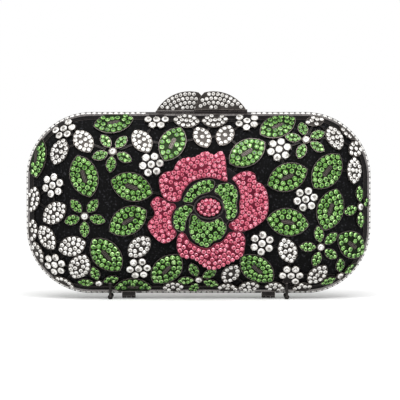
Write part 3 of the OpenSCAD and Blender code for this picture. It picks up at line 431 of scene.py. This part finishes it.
def seats(node):
    """Foot, axis, radius and height of every stone of a CAD node. Corners at one place are
    one point, each point takes the lowest number among its triangles' points until none
    changes, and points of one number are one stone. A stone is a cone cut short: the
    points of its wide ring lie further from its middle than those of its narrow one."""
    mesh = frame["nodes"][node].data
    place = np.empty(3 * len(mesh.vertices))
    mesh.vertices.foreach_get("co", place)
    corners = np.empty(len(mesh.loops), int)
    mesh.loops.foreach_get("vertex_index", corners)
    keys = np.round(place.reshape(-1, 3) * KEYS_PER_METRE).astype(np.int64)
    _, first, same = np.unique(keys, axis=0, return_index=True, return_inverse=True)
    point = place.reshape(-1, 3)[first]
    triangle = same.ravel()[corners].reshape(-1, 3)
    label = np.arange(len(point))
    while True:
        lower = label.copy()
        np.minimum.at(lower, triangle.ravel(), np.repeat(label[triangle].min(1), 3))
        if (lower == label).all():
            break
        label = lower
    _, stone = np.unique(label, return_inverse=True)
    count = stone.max() + 1

    def middle(chosen):
        sums = [np.bincount(stone[chosen], point[chosen, k], count) for k in range(3)]
        return np.stack(sums, 1) / np.bincount(stone[chosen], minlength=count)[:, None]

    everything = np.ones(len(point), bool)
    far = np.linalg.norm(point - middle(everything)[stone], axis=1)
    most = np.zeros(count)
    np.maximum.at(most, stone, far)
    wide = far > WIDE_RING_SHARE * most[stone]
    foot, top = middle(wide), middle(~wide)
    height = np.linalg.norm(top - foot, axis=1)
    reach = np.linalg.norm(point[wide] - foot[stone[wide]], axis=1)
    radius = np.bincount(stone[wide], reach, count) / np.bincount(stone[wide], minlength=count)
    return foot, (top - foot) / height[:, None], radius, height


CROWN_SIDES = 8
TABLE_SHARE = 0.66
TABLE_EYE_SHARE = 0.36
CRYSTAL_SHARE = 0.965
GIRDLE_SHARE = 0.3


def cut_crystal():
    """Points and faces of one crystal of radius and height 1. Rings of points lie round
    the axis at a radius and height each: the table's eye, the table's edge, and a girdle
    with twice as many. A crown facet joins a corner of the table to three girdle points,
    and a triangle fills the space between two such facets."""
    turn = 2 * np.pi * np.arange(CROWN_SIDES) / CROWN_SIDES
    half = np.pi * np.arange(2 * CROWN_SIDES) / CROWN_SIDES

    def ring(angles, radius, height):
        return np.stack([radius * np.cos(angles), radius * np.sin(angles),
            np.full(len(angles), height)], 1)

    points = np.concatenate([ring(turn, TABLE_EYE_SHARE, 1.0), ring(turn, TABLE_SHARE, 1.0),
        ring(half, 1.0, GIRDLE_SHARE)])
    i = np.arange(CROWN_SIDES)
    j = (i + 1) % CROWN_SIDES
    eye, edge, girdle = 0, CROWN_SIDES, 2 * CROWN_SIDES
    after = girdle + (2 * i + 1)
    before = girdle + (2 * i - 1) % (2 * CROWN_SIDES)
    faces = [list(range(CROWN_SIDES))]
    faces += np.stack([eye + i, edge + i, edge + j, eye + j], 1).tolist()
    faces += np.stack([edge + i, before, girdle + 2 * i, after], 1).tolist()
    faces += np.stack([edge + i, after, edge + j], 1).tolist()
    faces.append(list(range(girdle + 2 * CROWN_SIDES - 1, girdle - 1, -1)))
    return points, faces


CUP_SIDES = 12
CUP_PROFILE = np.array([[0.9, 0.0], [1.0, -0.13], [1.0, 0.22], [0.95, 0.42]])


def setting_cup():
    """Points and faces of one cup of radius and height 1: a profile of radius and height
    turned round the axis, closed on itself."""
    turn = 2 * np.pi * np.arange(CUP_SIDES) / CUP_SIDES
    radius, height = CUP_PROFILE[:, :1], CUP_PROFILE[:, 1:]
    points = np.stack([radius * np.cos(turn), radius * np.sin(turn),
        height + 0 * turn], 2).reshape(-1, 3)
    k, i = np.meshgrid(np.arange(len(CUP_PROFILE)), np.arange(CUP_SIDES), indexing="ij")
    next_k, next_i = (k + 1) % len(CUP_PROFILE), (i + 1) % CUP_SIDES
    corners = [k * CUP_SIDES + i, k * CUP_SIDES + next_i, next_k * CUP_SIDES + next_i,
        next_k * CUP_SIDES + i]
    return points, np.stack(corners, -1).reshape(-1, 4).tolist()


MOSTLY_ALONG_X = 0.7


def repeated(name, shape, foot, axis, radius, height, spin):
    """One mesh of a shape at many seats. A seat's sideways direction is any one square to
    its axis, and its forward direction is square to both. Each is turned by spin about
    the axis, and a point goes to foot + radius (x sideways + y forwards) + height z axis."""
    points, faces = shape
    guide = np.where(np.abs(axis[:, :1]) < MOSTLY_ALONG_X, [[1.0, 0, 0]], [[0, 0, 1.0]])
    sideways = np.cross(guide, axis)
    sideways /= np.linalg.norm(sideways, axis=1)[:, None]
    forwards = np.cross(axis, sideways)
    cos, sin = np.cos(spin)[:, None], np.sin(spin)[:, None]
    x, y = cos * sideways + sin * forwards, cos * forwards - sin * sideways
    place = (foot[:, None] + radius[:, None, None] * (points[None, :, :1] * x[:, None]
        + points[None, :, 1:2] * y[:, None])
        + height[:, None, None] * points[None, :, 2:] * axis[:, None])
    count = len(points)
    mesh = bpy.data.meshes.new(name)
    mesh.from_pydata(place.reshape(-1, 3).tolist(), [],
        [[number + i * count for number in face] for i in range(len(foot)) for face in faces])
    made = bpy.data.objects.new(name, mesh)
    bpy.context.collection.objects.link(made)
    return made


# Ranges of the painted reflection values on facets: low is painted shade, high is painted
# highlight.
PAINTED_BRIGHT_EYE_CHANCE = 0.35
DEEP, MIDDLING, DIM = (0.0, 0.25), (0.3, 0.75), (0.2, 0.45)
BRIGHT, BETWEEN, SHIFT = (0.75, 1.0), (0.5, 0.95), (-0.12, 0.08)
BACK_VALUE = 0.1
DEEP_RUN, DIM_RUN = 3, 2


def painted_facet_glints(count, seed):
    """Painted reflections: how bright each facet of each crystal is painted, 0 to 1. About a
    third of the eyes get a painted highlight and the rest painted shade. The ring round the
    eye is middling with a run of shaded facets, and the crown gets painted highlights with
    a run of dim ones."""
    chance = np.random.default_rng(seed)

    def run_of(length):
        start = chance.integers(0, CROWN_SIDES, (count, 1))
        return (np.arange(CROWN_SIDES)[None] - start) % CROWN_SIDES < length

    eye = np.where(chance.uniform(size=(count, 1)) < PAINTED_BRIGHT_EYE_CHANCE,
        chance.uniform(*BRIGHT, (count, 1)), chance.uniform(*DEEP, (count, 1)))
    table = np.where(run_of(DEEP_RUN), chance.uniform(*DEEP, (count, 1)),
        chance.uniform(*MIDDLING, (count, CROWN_SIDES)))
    crown = np.where(run_of(DIM_RUN), chance.uniform(*DIM, (count, 1)),
        chance.uniform(*BRIGHT, (count, CROWN_SIDES)))
    between = chance.uniform(*BETWEEN, (count, CROWN_SIDES))
    back = np.full((count, 1), BACK_VALUE)
    shift = chance.uniform(*SHIFT, (count, 1))
    return np.clip(np.concatenate([eye, table, crown, between, back], 1) + shift, 0, 1)


SCRATCH_NOISE = 5200
SCRATCH_ROUGHNESS = 0.16


def glass_with_painted_glints(name, deep, middle, painted_flash, clear):
    """Cut glass over foil: its facets' painted reflections run from painted shade (deep) to
    painted highlights (painted_flash, clear), under a clear polished face with a few fine
    scratches."""
    made, tree, shader = finish_of(name)
    # The facet attribute is each facet's painted reflection: painted shade at 0, painted
    # highlights toward 1.
    value = add(tree, "ShaderNodeAttribute", attribute_name="facet")
    join(tree, ramp(tree, value.outputs["Fac"], [(0.0, deep), (0.5, middle), (0.8, painted_flash),
        (1.0, clear)]), shader.inputs["Base Color"])
    scratches = noise(tree, SCRATCH_NOISE, detail=2, stretch=(1, 0.2, 1))
    join(tree, calculate(tree, "MULTIPLY", scratches, SCRATCH_ROUGHNESS),
        shader.inputs["Roughness"])
    shader.inputs["Metallic"].default_value = 0.25
    shader.inputs["IOR"].default_value = 1.56
    shader.inputs["Coat Weight"].default_value = 0.25
    shader.inputs["Coat Roughness"].default_value = 0.03
    return made


# Each glass's colours run from its painted shade, through its own colour, to its painted
# highlights.
clear_glass = glass_with_painted_glints("clear_glass", tint(96, 92, 87), tint(214, 211, 205),
    tint(250, 248, 245), tint(255, 255, 253))
green_glass = glass_with_painted_glints("green_glass", tint(6, 36, 0), tint(62, 120, 26),
    tint(132, 190, 88), tint(206, 240, 170))
pink_glass = glass_with_painted_glints("pink_glass", tint(100, 14, 34), tint(208, 74, 104),
    tint(234, 126, 150), tint(248, 194, 208))

LARGEST_LEAN = 0.035
SEEDS_A_SIDE = 100
BODY_OF = {node: body for body, nodes in frame["record"]["behaviour"]["bodies"].items()
    for node in nodes}


def set_stones(node, glass, cup, seed):
    """Crystals, and cups where cup is a material, at every seat of a CAD node."""
    foot, axis, radius, height = seats(node)
    chance = np.random.default_rng(seed)
    spin = chance.uniform(0, 2 * np.pi, len(foot))
    lean = axis + chance.uniform(-LARGEST_LEAN, LARGEST_LEAN, axis.shape)
    lean /= np.linalg.norm(lean, axis=1)[:, None]
    share = CRYSTAL_SHARE if cup else 1.0
    name = node.replace("_stones", "_crystals")
    crystals = repeated(name, cut_crystal(), foot, lean, share * radius, height, spin)
    # Each face of each crystal gets its painted reflection value.
    values = crystals.data.attributes.new("facet", "FLOAT", "FACE")
    values.data.foreach_set("value", painted_facet_glints(len(foot), seed).ravel())
    crystals.data.materials.append(glass)
    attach(crystals, BODY_OF[node])
    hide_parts(node)
    if cup:
        cups = repeated(node.replace("_stones", "_cups"), setting_cup(), foot, axis, radius,
            height, spin)
        cups.data.materials.append(cup)
        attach(cups, BODY_OF[node])


cup_metal = plated("cup_metal", tint(104, 100, 93), tint(160, 155, 146), tint(222, 216, 206),
    roughness=0.3)
green_cup_metal = plated("green_cup_metal", tint(14, 32, 8), tint(34, 62, 20),
    tint(96, 128, 72), roughness=0.3)
red_cup_metal = plated("red_cup_metal", tint(98, 26, 44), tint(150, 56, 76), tint(198, 124, 136),
    roughness=0.3)
for side_number, side in enumerate(SIDES):
    for kind_number, (kind, glass, cup) in enumerate([
            ("leaf", green_glass, green_cup_metal), ("small_leaf", clear_glass, cup_metal),
            ("daisy", clear_glass, cup_metal), ("petal", pink_glass, red_cup_metal),
            ("rose_leaf", green_glass, green_cup_metal), ("clasp", clear_glass, cup_metal),
            ("frame", clear_glass, None)]):
        set_stones(f"{side}_{kind}_stones", glass, cup,
            SEEDS_A_SIDE * side_number + kind_number)

# Table: a white sheet that the clutch stands on. To the camera it glows a little, so that
# it runs out into the white background and keeps only the shadow beside the clutch.
TABLE_HALF = 3.0
TABLE_NOISE = 60
TABLE_GLOW = 0.1
table_mesh = bpy.data.meshes.new("table")
table_mesh.from_pydata([(x * TABLE_HALF, y * TABLE_HALF, 0) for x, y in
    ((-1, -1), (1, -1), (1, 1), (-1, 1))], [], [(0, 1, 2, 3)])
table = bpy.data.objects.new("table", table_mesh)
bpy.context.collection.objects.link(table)
white_table, tree, shader = finish_of("white_table")
grain = noise(tree, TABLE_NOISE, detail=3)
join(tree, ramp(tree, grain, [(0.3, tint(240, 240, 240)), (0.7, tint(246, 246, 246))]),
    shader.inputs["Base Color"])
shader.inputs["Roughness"].default_value = 0.9
shader.inputs["Specular IOR Level"].default_value = 0.0
shader.inputs["Emission Color"].default_value = tint(255, 255, 255)
glow = add(tree, "ShaderNodeLightPath")
join(tree, calculate(tree, "MULTIPLY", glow.outputs["Is Camera Ray"], TABLE_GLOW),
    shader.inputs["Emission Strength"])
table_mesh.materials.append(white_table)

# Light: an even white room, a broad soft sun from above and in front, and two soft lamps
# beside it, a little left and right of the middle, for the metal and the facets. The
# background is plain white.
ROOM_LEVEL = 0.7
world = bpy.data.worlds.new("studio")
bpy.context.scene.world = world
world.use_nodes = True
tree = world.node_tree
tree.nodes.clear()
room = add(tree, "ShaderNodeBackground", Color=(1, 1, 1, 1), Strength=ROOM_LEVEL)
backdrop = add(tree, "ShaderNodeBackground", Color=(1, 1, 1, 1), Strength=1.0)
ray = add(tree, "ShaderNodeLightPath")
seen = calculate(tree, "MAXIMUM", ray.outputs["Is Camera Ray"],
    calculate(tree, "MAXIMUM", ray.outputs["Is Glossy Ray"], ray.outputs["Is Transmission Ray"]))
choice = add(tree, "ShaderNodeMixShader")
join(tree, seen, choice.inputs[0])
join(tree, room.outputs[0], choice.inputs[1])
join(tree, backdrop.outputs[0], choice.inputs[2])
join(tree, choice.outputs[0], add(tree, "ShaderNodeOutputWorld").inputs["Surface"])


def lamp(name, kind, place, power, size):
    """A lamp of a kind at a place, turned to the middle of the clutch."""
    data = bpy.data.lights.new(name, kind)
    data.energy = power
    if kind == "SUN":
        data.angle = size
    else:
        data.size = size
    made = bpy.data.objects.new(name, data)
    made.location = place
    middle = Vector((np.array(cad_box[0]) + np.array(cad_box[1])) / 2)
    made.rotation_euler = (middle - made.location).to_track_quat("-Z", "Y").to_euler()
    bpy.context.collection.objects.link(made)


lamp("soft_sun", "SUN", (0.0, -0.75, 1.0), 1.7, 1.0)
lamp("left_lamp", "AREA", (-0.25, -0.9, 1.2), 3.0, 0.8)
lamp("right_lamp", "AREA", (0.3, -0.9, 1.0), 2.0, 0.8)

# Camera: a long lens in front of the clutch, a little above its middle.
LENS = 250.0
SENSOR_WIDTH = 36.0
METRES_ACROSS = 400 * 0.0005523
LOOK_DOWN_DEGREES = 1.8
LOOK_AT = (0.0008, 0.0, 0.0543)
camera_data = bpy.data.cameras.new("camera")
camera_data.lens = LENS
camera_data.sensor_width = SENSOR_WIDTH
camera_data.clip_start, camera_data.clip_end = 0.05, 20.0
camera = bpy.data.objects.new("camera", camera_data)
bpy.context.collection.objects.link(camera)
rise = float(np.radians(LOOK_DOWN_DEGREES))
back = Vector((0.0, -np.cos(rise), np.sin(rise)))
camera.location = Vector(LOOK_AT) + back * (METRES_ACROSS * LENS / SENSOR_WIDTH)
camera.rotation_euler = (-back).to_track_quat("-Z", "Y").to_euler()
bpy.context.scene.camera = camera
bpy.context.scene.view_settings.view_transform = "Standard"
